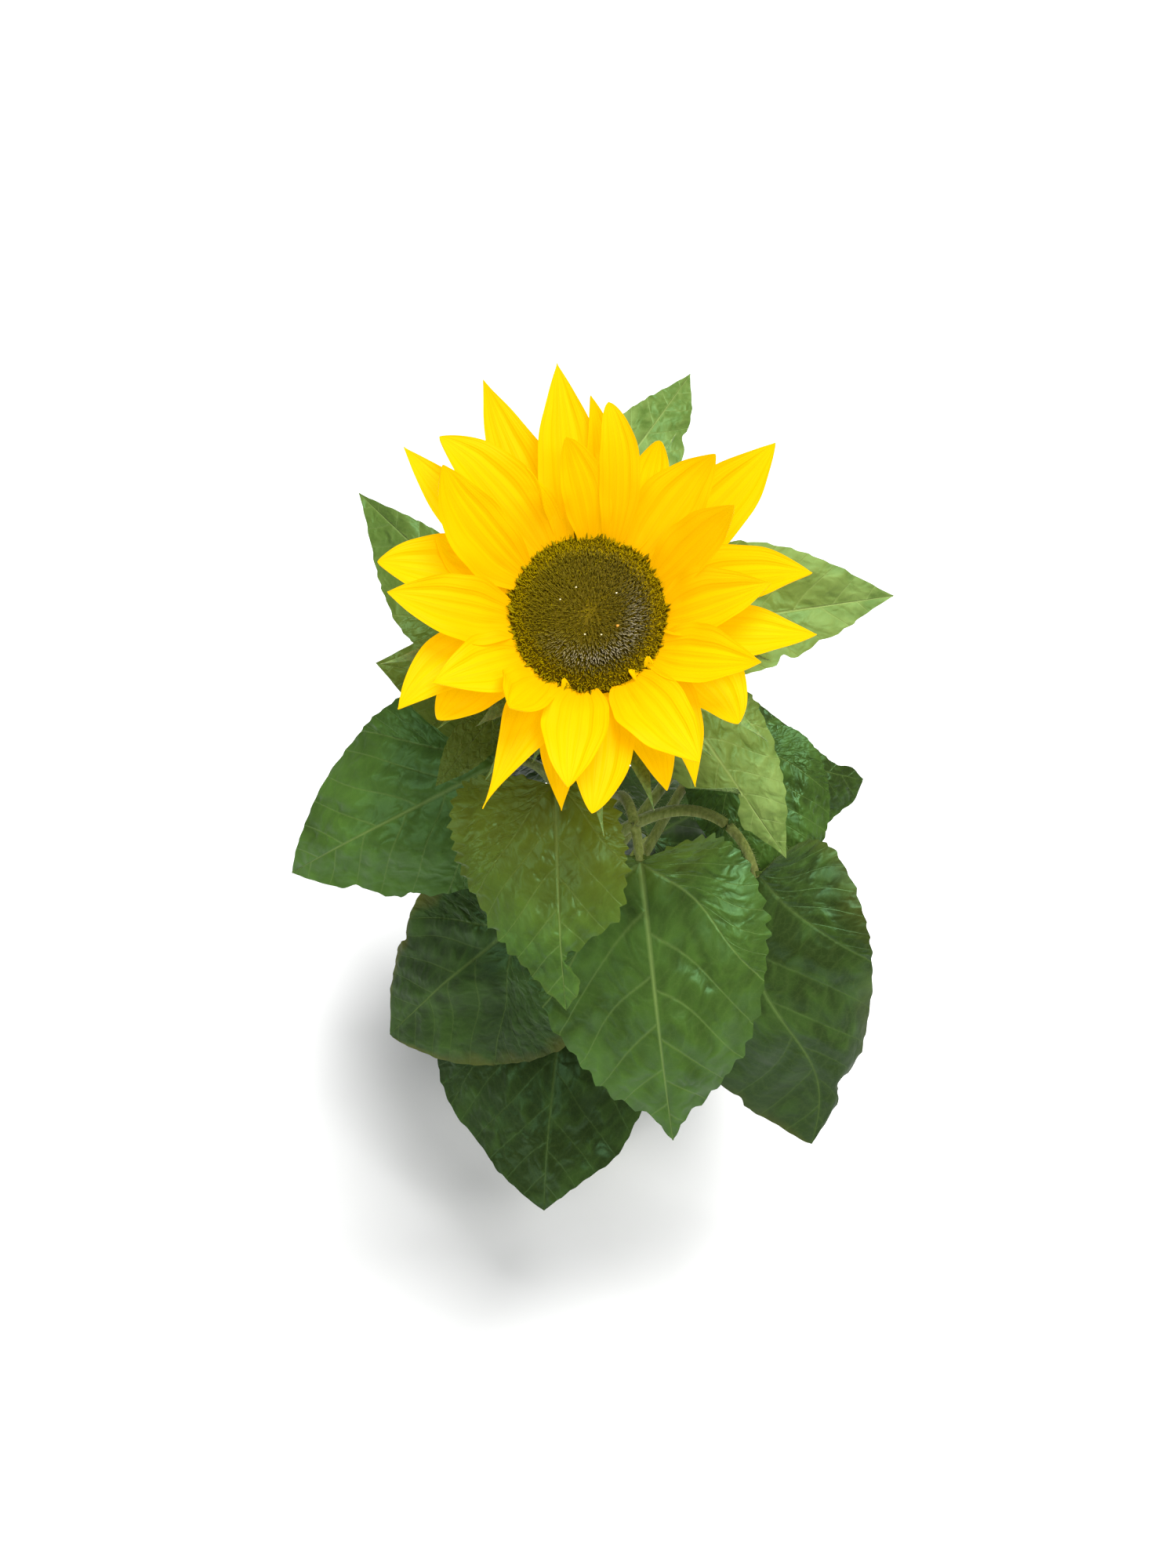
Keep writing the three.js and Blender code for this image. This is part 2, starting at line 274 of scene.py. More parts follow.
# %% Finish and Wire
class Wire:
    """A number or colour on its way between two nodes of one finish."""

    def __init__(self, finish, socket):
        self.finish, self.socket = finish, socket

    def math(self, operation, *others):
        return self.finish.node("Math", {"operation": operation}, dict(enumerate((self, *others))))

    def __add__(self, other):
        return self.math("ADD", other)

    def __sub__(self, other):
        return self.math("SUBTRACT", other)

    def __mul__(self, other):
        return self.math("MULTIPLY", other)

    def __truediv__(self, other):
        return self.math("DIVIDE", other)

    def __rsub__(self, other):
        return self.finish.node("Math", {"operation": "SUBTRACT"}, {0: other, 1: self})

    __radd__, __rmul__ = __add__, __mul__


class Finish:
    """A material. `node` adds a node to it, and the other methods are short names."""

    def __init__(self, name):
        self.material = bpy.data.materials.new(name)
        self.material.use_nodes = True
        self.tree = self.material.node_tree
        self.tree.nodes.clear()

    def node(self, kind, settings=None, sockets=None, output=0):
        """A node of this kind: its settings first, then numbers or wires for its sockets."""
        made = self.tree.nodes.new("ShaderNode" + kind)
        for name, value in (settings or {}).items():
            setattr(made, name, value)
        for name, value in (sockets or {}).items():
            if isinstance(value, Wire):
                self.tree.links.new(value.socket, made.inputs[name])
            else:
                made.inputs[name].default_value = value
        return Wire(self, made.outputs[output])

    def field(self, name):
        """The three numbers that a mesh stores at each point under this name."""
        stored = self.node("Attribute", {"attribute_name": name}, output="Vector")
        split = self.node("SeparateXYZ", sockets={0: stored})
        return [Wire(self, socket) for socket in split.socket.node.outputs]

    def point(self, x, y, z):
        """Three numbers as one place, where a texture can be read."""
        return self.node("CombineXYZ", sockets={0: x, 1: y, 2: z})

    def own_place(self):
        """The place in the plant's own space, in metres."""
        return self.node("TexCoord", output="Object")

    def mix(self, share, first, second):
        """A colour between two, as links or as (red, green, blue)."""
        first, second = (c if isinstance(c, Wire) else (*c, 1) for c in (first, second))
        sockets = {0: share, 6: first, 7: second}
        return self.node("Mix", {"data_type": "RGBA", "clamp_factor": True}, sockets, output=2)

    def cloud(self, scale, detail=2.0, place=None, distortion=0.0):
        """Soft noise from 0 to 1."""
        place = place or self.own_place()
        sockets = {"Vector": place, "Scale": scale, "Detail": detail, "Distortion": distortion}
        return self.node("TexNoise", sockets=sockets)

    def net(self, place, scale):
        """Distance to the nearest wall between cells."""
        sockets = {"Vector": place, "Scale": scale}
        return self.node("TexVoronoi", {"feature": "DISTANCE_TO_EDGE"}, sockets)

    def spread(self, value, low, high, to_low=0.0, to_high=1.0):
        """Moves a number from one range to another and clamps it there."""
        sockets = {0: value, 1: low, 2: high, 3: to_low, 4: to_high}
        return self.node("MapRange", {"clamp": True}, sockets)

    def bump(self, strength, distance, height):
        sockets = {"Strength": strength, "Distance": distance, "Height": height}
        return self.node("Bump", sockets=sockets)

    def skin(self, sockets):
        return self.node("BsdfPrincipled", sockets=sockets)

    def close(self, surface):
        end = self.tree.nodes.new("ShaderNodeOutputMaterial")
        self.tree.links.new(surface.socket, end.inputs["Surface"])
        return self.material

    def close_thin(self, skin, share, color, **more):
        """A surface that lets a share of the light through and colours it."""
        through = self.node("BsdfTranslucent", sockets={"Color": (*color, 1), **more})
        return self.close(self.node("MixShader", sockets={0: share, 1: skin, 2: through}))


# %% [markdown]
# One formula can draw the same pattern twice: once on arrays, for the relief of the mesh, and
# once on wires, for the colour. These few functions work on both.

# %% Functions for arrays and wires
def for_both(operation, on_arrays, *settings):
    """A function that adds a Math node to a wire, and works an array out at once."""
    def work(value, *others):
        if isinstance(value, Wire):
            return value.math(operation, *others, *settings)
        return on_arrays(value, *others)

    return work


size_of = for_both("ABSOLUTE", np.abs)
larger = for_both("MAXIMUM", np.maximum)
sine = for_both("SINE", np.sin)
whole = for_both("FLOOR", np.floor)
is_above = for_both("GREATER_THAN", lambda value, limit: (value > limit) * 1.0)
from_whole = for_both("PINGPONG", lambda value: np.abs(value - np.round(value)), 0.5)


def stroke(distance, width):
    """1 on a line, falling to 0 at `width` away from it."""
    return larger(1 - distance / width, 0.0)


# %% [markdown]
# ## Leaf veins
# A sunflower leaf has a midrib, a strong pair of veins from its base, and about six more pairs
# that leave the midrib and curve forwards. `rank` is the same number all along one such vein, so
# its whole values are the veins. Behind the lowest pair, branches fan out into the base's lobes.
# `rung` counts the small veins that cross from one side vein to the next, as in a ladder. Noise
# that is read at rank and rung instead of x and y gives wrinkles that follow the veins.

# %% Vein pattern
VEIN_RISE, VEIN_CURVE = 0.85, 1.3  # how steeply and how curved the side veins run
VEIN_COUNT, VEIN_CROWDING = 4.2, 1.6  # side veins along the midrib, a little closer near the tip
LOBE_BRANCHES = 8.5
RUNGS = 20


def vein_numbers(x, y, seed):
    """x and y are in leaf lengths; the seed shifts the wander of the veins from leaf to leaf."""
    out = size_of(x)
    wander = sine(y * 17.0 + seed) * 0.007 + sine(out * 21.0 + seed * 2.0) * 0.009
    fan = y - out * VEIN_RISE - out * out * VEIN_CURVE + wander
    ahead = is_above(fan, 0.0)
    alternate = is_above(x, 0.0) * ahead * 0.3
    pinnate = fan * VEIN_COUNT + fan * fan * VEIN_CROWDING + alternate
    lobe = (y + 0.05 + wander) / (out + 0.22) * LOBE_BRANCHES
    rank = pinnate * ahead + lobe * (1 - ahead)
    rung = (out + (y + wander) * VEIN_RISE) * RUNGS + whole(rank) * 0.37
    return rank, rung, fan


def veins(x, y, edge, seed, spread=1.0):
    """Strength of the veins, from 0 to 1. The edge is 1 at the margin, where they thin out."""
    out = size_of(x)
    rank, _, fan = vein_numbers(x, y, seed)
    fine = 1.1 - edge * 0.6
    side_veins = stroke(from_whole(rank), fine * (0.050 * spread)) * 0.36
    base_pair = stroke(size_of(fan), (1.0 - out * 1.2) * (0.012 * spread)) * 0.6
    midrib = stroke(out, (1.15 - y) * (0.012 * spread))
    return larger(larger(side_veins, base_pair), midrib)


# %% [markdown]
# ## Leaf colours
# The upper face is dark and satin, with pale veins and a faint net between them. Its green swells
# into wrinkles across the veins, which break the gloss into small pieces. The same noise makes the
# bump and lightens and darkens the colour: painted shade of the wrinkles. A painted texture could
# hold all this, but it would blur when seen close, and here every leaf comes out different. The
# gloss is tinted green, or a pale floor would grey the leaves. Worn leaves are rusty along the
# margin and dull toward the tip. Next to the flower the green is tinted olive: a painted glow that
# stands in for the flower's yellow light. Older leaves are darker, and the young ones under the
# flower are pale and duller.

# %% Leaf finishes
RUST = (0.13, 0.11, 0.015)
# painted glow: the olive that leaves next to the flower take on, standing in for its yellow light
PAINTED_FLOWER_GLOW = (0.15, 0.145, 0.0)
FLOWER_GLOW_FROM, FLOWER_GLOW_TO = 0.060, 0.115  # metres from the head
GREEN_GLOSS = (0.45, 1.0, 0.5, 1)


def leaf_face(name, dark, light, vein_color, gloss, glow, through_color):
    f = Finish(name)
    x, y, edge = f.field("place")
    tone, worn, seed = f.field("tone")
    where = f.point(x, y, seed)
    push = f.node("TexNoise", sockets={"Vector": where, "Scale": 14.0}, output="Color")
    push = f.node("VectorMath", {"operation": "SCALE"}, {0: push, "Scale": 0.05})
    bent = f.node("VectorMath", {"operation": "ADD"}, {0: where, 1: push})
    patches = f.cloud(3.5, 2.0, where)
    rank, rung, _ = vein_numbers(x, y, seed)
    wrinkle_relief_and_shade = f.cloud(17.0, 1.5, f.point(x * 0.6, rung * 0.035, rank * 0.09 + seed), 0.4)
    lines = veins(x, y, edge, seed)
    # the wrinkle noise also lightens and darkens the green: painted shade of the wrinkles, beside
    # the random patches of tone
    body = f.mix(tone + (patches - 0.5) + (wrinkle_relief_and_shade - 0.5) * 0.95, dark, light)
    body = f.mix(veins(x, y, edge, seed, 3.0) * 0.2, body, light)
    rungs = stroke(from_whole(rung + f.cloud(9.0, 1.0, where) * 2.5), 0.2)
    net = 1 - f.spread(f.net(bent, 55.0), 0.0, 0.08)
    body = f.mix(rungs * 0.04 + net * 0.05, body, vein_color)
    rust = f.spread(edge + (f.cloud(5.0, 3.0, where) - 0.5) * 0.6, 0.85, 1.1) * worn
    body = f.mix(rust, body, RUST)
    body = f.mix(lines * f.spread(tone, 0.0, 0.5, 0.26, 0.8), body, vein_color)
    between = {0: f.own_place(), 1: HEAD * MM}
    from_head = f.node("VectorMath", {"operation": "DISTANCE"}, between, output="Value")
    # painted glow: leaves are tinted olive near the head
    body = f.mix(f.spread(from_head, FLOWER_GLOW_TO, FLOWER_GLOW_FROM) * 0.58, body, PAINTED_FLOWER_GLOW)
    roughness = f.spread(patches, 0.35, 0.65, gloss - 0.06, gloss + 0.08) + lines * 0.15
    skin = f.skin({
        "Base Color": body, "Roughness": roughness + f.spread(worn * y, 0.08, 0.16) * 0.3,
        "Normal": f.bump(0.7, 0.0018, wrinkle_relief_and_shade - lines * 0.2),
        "Specular IOR Level": 0.3, "Specular Tint": GREEN_GLOSS})
    return f.close_thin(skin, glow, through_color)


def leaf_under(name, body_color, vein_color, glow, through_color):
    f = Finish(name)
    x, y, edge = f.field("place")
    seed = f.field("tone")[2]
    where = f.point(x, y, seed)
    net = f.net(where, 40.0)
    lines = veins(x, y, edge, seed, 1.3)
    body = f.mix(f.cloud(6.0, 3.0, where), body_color, [c * 0.75 for c in body_color])
    body = f.mix((1 - f.spread(net, 0.0, 0.12)) * 0.3, body, vein_color)
    body = f.mix(lines * 0.7, body, vein_color)
    skin = f.skin({
        "Base Color": body, "Roughness": 0.7, "Specular IOR Level": 0.12,
        "Normal": f.bump(0.5, 0.0006, lines - f.spread(net, 0.0, 0.2) * 0.5)})
    return f.close_thin(skin, glow, through_color)


old_leaf = leaf_face(
    "old_leaf", dark=(0.018, 0.031, 0.005), light=(0.064, 0.135, 0.019),
    vein_color=(0.16, 0.23, 0.06), gloss=0.36, glow=0.06, through_color=(0.05, 0.13, 0.012))
young_leaf = leaf_face(
    "young_leaf", dark=(0.07, 0.12, 0.02), light=(0.20, 0.275, 0.07),
    vein_color=(0.30, 0.38, 0.12), gloss=0.46, glow=0.15, through_color=(0.2, 0.36, 0.02))
old_under = leaf_under(
    "old_leaf_under", (0.05, 0.085, 0.012), (0.12, 0.17, 0.03), 0.08, (0.06, 0.14, 0.005))
young_under = leaf_under(
    "young_leaf_under", (0.14, 0.22, 0.06), (0.26, 0.34, 0.12), 0.15, (0.2, 0.36, 0.03))
print("leaf finishes", [m.name for m in (old_leaf, young_leaf, old_under, young_under)])

# %% [markdown]
# ## Stem and stalks
# The stem is a hairy green rod with fine ribs, thickest at the foot, where it flares into its
# roots. It repeats the line of the frame's solid: a slight backward bow up to the shoulder, where
# the neck begins and bends forward under the head.

# %% Stem line
SHOULDER = 305
STEM_LEAN, STEM_BOW, BOW_SPAN = 2, 6.5, 0.85
FOOT_RADIUS, SHOULDER_RADIUS, NECK_TOP_RADIUS = 7.2, 4.4, 6.5
FLARE, FLARE_HEIGHT = 4.6, 12
CALYX_DEPTH = 20
head_axis = heading(-90, 90 - HEAD_TILT)


def stem_at(height):
    part = height / SHOULDER
    return np.array([STEM_LEAN * part, STEM_BOW * math.sin(BOW_SPAN * math.pi * part), height])


def stem_radius(height):
    taper = FOOT_RADIUS + (SHOULDER_RADIUS - FOOT_RADIUS) * height / SHOULDER
    return taper + FLARE * math.exp(-height / FLARE_HEIGHT)


def neck_line(steps):
    foot, top = stem_at(SHOULDER), HEAD - head_axis * (CALYX_DEPTH - 2)
    rise = unit(stem_at(SHOULDER) - stem_at(SHOULDER - 1))
    pull = np.linalg.norm(top - foot) / 3
    points = [foot, foot + rise * pull, top - head_axis * pull, top]
    return bezier(points, np.linspace(0, 1, steps))


# %% Stem finish
def stem_finish(name, pale, deep):
    f = Finish(name)
    place = f.own_place()
    stretch = {0: place, 1: (900.0, 900.0, 90.0)}
    long_place = f.node("VectorMath", {"operation": "MULTIPLY"}, stretch)
    streaks = f.cloud(1.0, 3.0, long_place)
    patches = f.cloud(45.0, 3.0)
    dots = f.node("TexVoronoi", sockets={"Vector": place, "Scale": 1400.0})
    body = f.mix(f.spread(streaks, 0.3, 0.7), deep, pale)
    body = f.mix(f.spread(patches, 0.5, 0.72) * 0.35, body, (0.16, 0.12, 0.06))
    body = f.mix((1 - f.spread(dots, 0.0, 0.35)) * 0.25, body, (0.34, 0.38, 0.14))
    return f.close(f.skin({
        "Base Color": body, "Roughness": f.spread(patches, 0.3, 0.7, 0.5, 0.68),
        "Normal": f.bump(0.5, 0.0004, streaks), "Specular IOR Level": 0.2,
        "Subsurface Weight": 0.08, "Subsurface Scale": 0.002}))


stem_green = stem_finish("stem_green", (0.20, 0.24, 0.055), (0.10, 0.13, 0.018))
print("stem finish", stem_green.name)

# %% Stem mesh
STEM_RINGS, NECK_RINGS, STEM_CORNERS = 90, 40, 48
NODE_SWELL, NODE_SPREAD = 0.9, 3.5  # the stem is a little thicker where a leaf leaves it
LEVEL_RINGS = 6  # the lowest rings stay level, so that the foot is cut flat


def stem_piece():
    heights = SHOULDER * np.linspace(0, 1, STEM_RINGS) ** 1.4
    line = np.concatenate([[stem_at(h) for h in heights], neck_line(NECK_RINGS)[1:]])
    along_neck = np.linspace(0, 1, NECK_RINGS - 1)
    neck_radii = SHOULDER_RADIUS + (NECK_TOP_RADIUS - SHOULDER_RADIUS) * along_neck**2
    radii = np.concatenate([[stem_radius(h) for h in heights], neck_radii + 0.2])
    for leaf in (*STEM_LEAVES.values(), *CROWN_LEAVES.values()):
        radii += NODE_SWELL * np.exp(-((line[:, 2] - leaf["node"]) / NODE_SPREAD) ** 2)
    grid = tube_grid(line, radii, np.array([1.0, 0, 0]), STEM_CORNERS, ribs=11, rib_depth=0.025)
    flare = np.exp(-heights / (FLARE_HEIGHT * 0.7))[:, None]
    turn = full_turn(STEM_CORNERS)[None]
    grid[:STEM_RINGS, :, :2] *= (1 + 0.10 * flare * np.cos(5 * turn + 1))[..., None]
    grid[:LEVEL_RINGS, :, 2] = heights[:LEVEL_RINGS, None]
    tube_piece("stem_skin", grid, stem_green, ["stem", "neck"])
    return line, radii


# %% [markdown]
# ## The leaves
# Each row gives where the stalk leaves the stem and how it climbs, and how the blade lies: its
# direction, dip, length and roll. The arch tells how steeply the stalk rises before it comes down.
# Each half of a blade's outline is one Bezier curve from base to tip, pulled towards two points,
# across and along, in leaf lengths. No two leaves of a plant are alike, so most have their own
# pulls, and some have bites out of the margin: where, how deep and how wide. The rows run from
# the ground up.

# %% Outlines
HEART = ((0.60, -0.38), (0.44, 0.62))
LANCE = ((0.42, 0.02), (0.24, 0.62))


def row(node, stalk, blade, left=HEART, right=HEART, **more):
    """One leaf, with what most leaves share filled in."""
    shared = {
        "left_bites": (), "right_bites": (), "fold": (-0.1, -0.1), "sag": (0.25, 0.25), "bend": 0.0,
        "tone": 0.3, "worn": 0.0, "teeth": 0.7, "arch": (8, 0.33, 0.3)}
    leaf = {"node": node, "stalk": stalk, "blade": blade, "left": left, "right": right}
    return {**shared, **leaf, **more}


# %% Leaf table
STEM_LEAVES = {
    "front_low": row(
        112, (-113, 62, 56, 2.6), (-97, 45, 98, -4), ((0.66, -0.3), (0.50, 0.66)),
        ((0.72, -0.3), (0.66, 0.72)), left_bites=[(0.80, -0.03, 0.06)],
        right_bites=[(0.80, 0.03, 0.05)], tone=0.0),
    "back_low": row(120, (84, 42, 46, 2.6), (88, 38, 104, 4), worn=0.6),
    "back_right_low": row(134, (48, 52, 60, 2.6), (50, 27, 96, 10), tone=0.0),
    "left_low": row(
        144, (-128, 53, 82, 2.6), (-178, 54, 85, -46), ((0.95, -0.3), (0.50, 0.75)),
        ((0.65, -0.3), (0.42, 0.65)), right_bites=[(0.68, 0.04, 0.03)], tone=0.2, worn=0.6),
    "back_left_low": row(158, (136, 44, 62, 2.5), (136, 42, 102, -8), worn=0.6),
    "right_mid": row(
        156, (28, 55, 98, 2.4), (1, 17, 61, 30), ((1.0, -0.3), (0.02, 0.52)),
        ((0.75, -0.3), (0.72, 0.86)), left_bites=[(0.93, -0.05, 0.05)],
        right_bites=[(0.93, -0.05, 0.05)], tone=0.1, arch=(0, 0.33, 0.1)),
    "back_mid": row(188, (108, 46, 66, 2.4), (104, 24, 96, 0)),
    "right_inner": row(
        198, (13, 45, 85, 2.4), (-61, 43, 58, 20), ((0.6, -0.2), (0.5, 0.86)),
        ((0.7, -0.3), (0.62, 0.8)), tone=0.4),
    "right_low": row(
        214, (-27, 15, 71, 2.5), (-62, 63, 123, 25), ((0.37, -0.32), (0.43, 0.60)),
        ((0.60, -0.42), (0.46, 0.74)), left_bites=[(0.84, 0.04, 0.03)],
        right_bites=[(0.80, 0.03, 0.03), (0.72, 0.03, 0.03)], bend=0.06, tone=0.03, worn=0.2,
        arch=(45, 0.9, 0.4)),
    "left_mid": row(
        226, (-145, 56, 74, 2.5), (-176, 35, 97, -42), ((0.57, -0.35), (0.42, 0.60)),
        ((0.60, -0.3), (0.44, 0.66)), left_bites=[(0.82, 0.03, 0.03), (0.70, 0.02, 0.02)],
        tone=0.75),
    "front_mid": row(
        238, (-76, 36, 84, 2.5), (-77, 59, 110, 10), ((0.48, -0.24), (0.50, 0.60)),
        ((0.58, -0.34), (0.49, 0.60)), left_bites=[(0.92, 0.03, 0.05)],
        right_bites=[(0.92, 0.03, 0.05)], tone=0.45, teeth=2.4, arch=(8, 0.33, 0.5)),
    "front_high": row(
        268, (-101, 42, 91, 2.2), (-86, 46, 76, 6), ((0.36, -0.15), (0.42, 0.60)),
        ((0.75, -0.25), (0.46, 0.52)), left_bites=[(0.81, 0.17, 0.065)], fold=(0.1, -0.1),
        tone=0.6, worn=0.12, teeth=2.6),
}
CUPPED = {"fold": (0.15, 0.15), "sag": (0.1, 0.1)}
CROWN_LEAVES = {
    "left_bud": row(250, (-136, 57, 89, 1.6), (-137, 30, 30, -30), LANCE, LANCE, tone=0.1),
    "right_high": row(
        259, (-29, 57, 65, 1.9), (-44, 38, 66, 30), ((0.55, -0.2), (0.32, 0.6)),
        ((0.52, -0.1), (0.18, 0.44)), right_bites=[(0.71, 0.17, 0.07)], sag=(0.25, 0.8),
        tone=0.35, teeth=1.5),
    "left_high": row(275, (-157, 54, 43, 1.8), (-174, -25, 57, -34), tone=0.0),
    "crown_right": row(
        285, (3, 65, 53, 1.9), (6, -6, 83, 40), ((0.50, 0.0), (0.34, 0.62)),
        ((0.40, 0.0), (0.22, 0.6)), right_bites=[(0.62, 0.03, 0.02), (0.74, 0.02, 0.02)],
        **CUPPED, tone=0.35),
    "crown_back": row(
        293, (91, 44, 72, 1.9), (57, -13, 70, 24), ((0.35, 0.0), (0.16, 0.6)),
        ((0.42, 0.0), (0.26, 0.62)), right_bites=[(0.72, 0.03, 0.03)],
        **CUPPED, tone=0.15),
    "crown_left": row(
        300, (168, 42, 47, 1.9), (135, -12, 73, -28), ((0.60, 0.0), (0.28, 0.5)),
        ((0.30, 0.0), (0.13, 0.55)), **CUPPED, tone=0.0),
}

# %% [markdown]
# The blade is a grid: rows fan out from the midrib to the margin, columns run from base to tip.
# Only the outermost columns carry the teeth. The relief repeats the vein pattern: the veins lie
# in grooves, and the green swells up between them. Long waves lie over the whole.

# %% Leaf outline
STEM_FORM = {
    "teeth": 24, "columns": 57, "point": 0.35, "bow": 0.07, "quilt": 0.013,
    "wave": 0.022, "swell": 0.012}
CROWN_FORM = {
    "teeth": 16, "columns": 37, "point": 0.30, "bow": 0.05, "quilt": 0.010,
    "wave": 0.018, "swell": 0.010}
ROWS_PER_TOOTH = 6
TOOTH_SIZE = 0.011
TOOTH_RISE, TOOTH_FALL = 0.72, 0.28  # shares of a tooth's step
TOOTHLESS = 0.06  # share of the margin by the stalk without teeth


def margin(pulls, bites, form, scale, t):
    """One half of the outline, and the teeth that stand on it, both in leaf lengths."""
    curve = bezier([(0, 0), *pulls, (0, 1)], t)  # from the stalk at 0 to the tip at 1
    toward_tip = np.clip((curve[:, 1] - 0.6) / 0.4, 0, 1)
    curve[:, 0] *= 1 - form["point"] * toward_tip**2
    for where, deep, wide in bites:
        curve[:, 0] -= deep * np.exp(-(((t - where) / wide) ** 2))
    curve[:, 0] = np.maximum(curve[:, 0], 0.0015)
    ahead = unit(np.gradient(curve, axis=0))
    outward = stacked(ahead[:, 1], -ahead[:, 0])
    steps = t * form["teeth"] + 0.25 * np.sin(t * 21 + draw.uniform(0, 6))
    part = steps % 1
    size = scale * draw.uniform(0.3, 1.3, form["teeth"] + 3)[steps.astype(int) + 1]
    tooth = np.minimum(part / TOOTH_RISE, (1 - part) / TOOTH_FALL) * size
    tooth = tooth * np.minimum(1, 7 * (1 - t)) * (t > TOOTHLESS)
    return curve, outward * (TOOTH_SIZE * tooth)[:, None]


def stalk_points(leaf):
    direction, climb, length, _ = leaf["stalk"]
    ahead = heading(leaf["blade"][0], -leaf["blade"][1])
    base = stem_at(leaf["node"]) + heading(direction, climb) * length
    root = stem_at(leaf["node"]) + heading(direction, 0) * (stem_radius(leaf["node"]) - 1)
    rise, first, last = leaf["arch"]
    pulled_up = root + heading(direction, climb + rise) * first * length
    return [root, pulled_up, base - ahead * last * length, base]


# %% Leaf relief
def relief(x, y, edge, seed, form):
    """Height of the upper face over a smooth blade, in leaf lengths."""
    rank, _, fan = vein_numbers(x, y, seed)
    fade = (1 - edge**5) * np.clip((1 - y) * 4, 0, 1)
    between = np.sin(np.pi * rank) ** 2 * np.minimum(1, np.abs(x) * 12) ** 0.7
    uneven = 0.75 + 0.25 * np.sin(x * 31 + y * 17 + seed)
    between = between * np.where(fan > 0, 1.0, 0.45) * uneven
    beside_base_pair = 0.7 * np.exp(-((fan / 0.013) ** 2)) * (np.abs(x) < 0.42)
    groove = np.exp(-((x / 0.012) ** 2)) + beside_base_pair
    broad = np.sin(x * 13 + seed) * np.sin(y * 10 + 2 * seed)
    broad = broad + 0.6 * np.sin(x * 23 - y * 9 + 3 * seed)
    return form["quilt"] * (fade * between - 0.3 * groove) + form["swell"] * broad


def blade_piece(name, leaf, form, finishes, nodes):
    direction, dip, length, roll = leaf["blade"]
    ahead = heading(direction, -dip)
    over, side = strip_frame(ahead, math.radians(roll))
    seed, wave_left, wave_right, twist = draw.uniform(0, 6, 4)
    t = np.linspace(0.003, 1, form["teeth"] * ROWS_PER_TOOTH)
    s = np.linspace(-1, 1, form["columns"])[None, :]
    v = 1.35 * s - 0.35 * s**3
    edge, toward = np.abs(v), np.sign(v)
    right = v > 0
    halves = [
        margin(leaf[half], leaf[half + "_bites"], form, leaf["teeth"], t)
        for half in ("left", "right")]
    outline, tooth = (
        np.where(right[..., None], b[:, None], a[:, None]) for a, b in zip(*halves))
    fold, sag, wave = (
        np.where(right, b, a) for a, b in (leaf["fold"], leaf["sag"], (wave_left, wave_right)))
    t = t[:, None]
    share = edge**1.6
    flat_x = toward * edge * outline[..., 0]
    flat_y = (0.5 * t + 0.5 * t**2) * (1 - share) + outline[..., 1] * share
    x = flat_x + toward * edge**14 * tooth[..., 0]
    y = flat_y + edge**14 * tooth[..., 1]
    inside = np.clip(y, 0, 1)
    z = form["bow"] * 4 * inside * (1 - inside)
    z = z + fold * (np.sqrt(x**2 + 0.0009) - 0.03) - sag * x**2
    z = z + form["wave"] * edge**2 * np.sin(11 * t + wave) * np.minimum(1, 4 * (1 - t))
    z = z + relief(flat_x, flat_y, edge, seed, form)
    x = x + leaf["bend"] * np.sin(2 * np.pi * inside) * (1 - edge**2)
    swing = np.radians(3 * (twist - 3)) * inside
    x, z = x * np.cos(swing) - z * np.sin(swing), z * np.cos(swing) + x * np.sin(swing)
    foot = stalk_points(leaf)[3]
    grid = foot + length * (ahead * y[..., None] + side * x[..., None] + over * z[..., None])
    place = stacked(flat_x, flat_y, edge)
    tone = np.broadcast_to(np.array([leaf["tone"], leaf["worn"], seed]), place.shape)
    rib = stroke(np.abs(flat_x), 0.022 * (1.1 - inside)) * (1 - t)
    rib = rib + 0.25 * veins(flat_x, flat_y, edge, seed, 2.0)
    depth = THIN + 0.02 * length * np.minimum(rib, 1)
    sheet_piece(name, grid, depth, finishes, {"place": place, "tone": tone}, nodes)


def stalk_piece(name, leaf, nodes):
    direction, _, _, root_radius = leaf["stalk"]
    t = np.linspace(0, 1, 36)
    line = bezier(stalk_points(leaf), t)
    radius = root_radius * (1 - 0.3 * t) + 0.9 * np.exp(-t * 14)
    groove_side = np.cross(np.cross(heading(direction, 0), UP), heading(direction, 60))
    grid = tube_grid(line, radius, groove_side, 16, channel=0.18)
    tube_piece(name, grid, stem_green, nodes)
    return line, radius


# %% Stem and leaves
tubes = [stem_piece()]
for leaves, form, finishes, slot, word in (
        (STEM_LEAVES, STEM_FORM, [old_leaf, old_under], "leaf", "blade"),
        (CROWN_LEAVES, CROWN_FORM, [young_leaf, young_under], "young_leaf", "leaf")):
    for name, leaf in leaves.items():
        stalk_nodes = [f"stalk_{name}"] if leaves is STEM_LEAVES else []
        tubes.append(stalk_piece(f"stalk_skin_{name}", leaf, stalk_nodes))
        blade_piece(f"{word}_skin_{name}", leaf, form, finishes, [f"{word}_{name}"])
    print(len(leaves), "leaves of", finishes[0].name)

# %% [markdown]
# ## Petals
# Petals lie in three whorls. Each row gives the angle of the root and of the tip, how far the tip
# reaches from the head's axis and how high it stands over the rim. Then come the half widths on
# the counter-clockwise and clockwise side, how drawn out the point is, and the twist. Petals that
# are small or half hidden come last.

